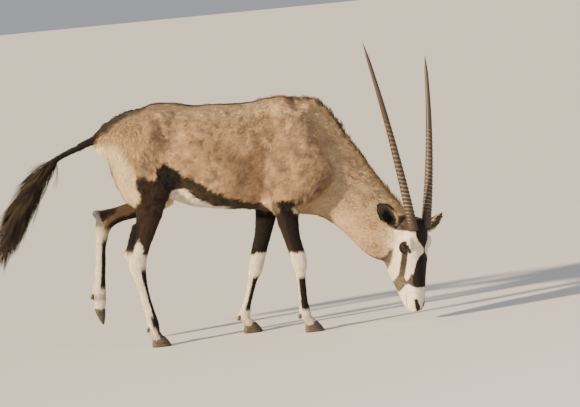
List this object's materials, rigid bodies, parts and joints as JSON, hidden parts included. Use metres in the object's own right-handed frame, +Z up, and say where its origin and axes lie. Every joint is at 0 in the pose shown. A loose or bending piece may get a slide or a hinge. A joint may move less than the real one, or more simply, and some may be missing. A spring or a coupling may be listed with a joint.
{
  "type": "gemsbok",
  "caption": "Life-size still model of a large grey-fawn antelope walking with its head lowered to graze, with long straight ringed horns and a tufted tail",
  "frame": {"origin": "on the floor under the centre of the whole model's box", "axes": "+X towards the head, +Y to the animal's left, +Z up"},
  "size_m": [2.2505, 0.4611, 1.4485],
  "materials": {
    "tan_coat": "short tan-grey hair on hide",
    "white_coat": "short off-white hair on hide",
    "dark_coat": "long black-brown hair",
    "horn_sheath": "ringed dark horn, satin",
    "hoof_horn": "dull dark horn of the hooves",
    "eye_dark": "wet dark brown eyeball"
  },
  "bodies": {
    "root": {"torso": "tan_coat", "neck": "tan_coat", "head": "white_coat", "tail_dock": "dark_coat", "tail_tuft": "dark_coat", "horn_right": "horn_sheath", "horn_left": "horn_sheath", "ear_right": "tan_coat", "ear_left": "tan_coat", "eye_right": "eye_dark", "eye_left": "eye_dark", "foreleg_right_upper": "tan_coat", "foreleg_right_cannon": "white_coat", "foreleg_right_claw_right": "hoof_horn", "foreleg_right_claw_left": "hoof_horn", "foreleg_right_dewclaw_right": "hoof_horn", "foreleg_right_dewclaw_left": "hoof_horn", "foreleg_left_upper": "tan_coat", "foreleg_left_cannon": "white_coat", "foreleg_left_claw_right": "hoof_horn", "foreleg_left_claw_left": "hoof_horn", "foreleg_left_dewclaw_right": "hoof_horn", "foreleg_left_dewclaw_left": "hoof_horn", "hindleg_right_upper": "tan_coat", "hindleg_right_cannon": "white_coat", "hindleg_right_claw_right": "hoof_horn", "hindleg_right_claw_left": "hoof_horn", "hindleg_right_dewclaw_right": "hoof_horn", "hindleg_right_dewclaw_left": "hoof_horn", "hindleg_left_upper": "tan_coat", "hindleg_left_cannon": "white_coat", "hindleg_left_claw_right": "hoof_horn", "hindleg_left_claw_left": "hoof_horn", "hindleg_left_dewclaw_right": "hoof_horn", "hindleg_left_dewclaw_left": "hoof_horn"}
  },
  "joints": []
}
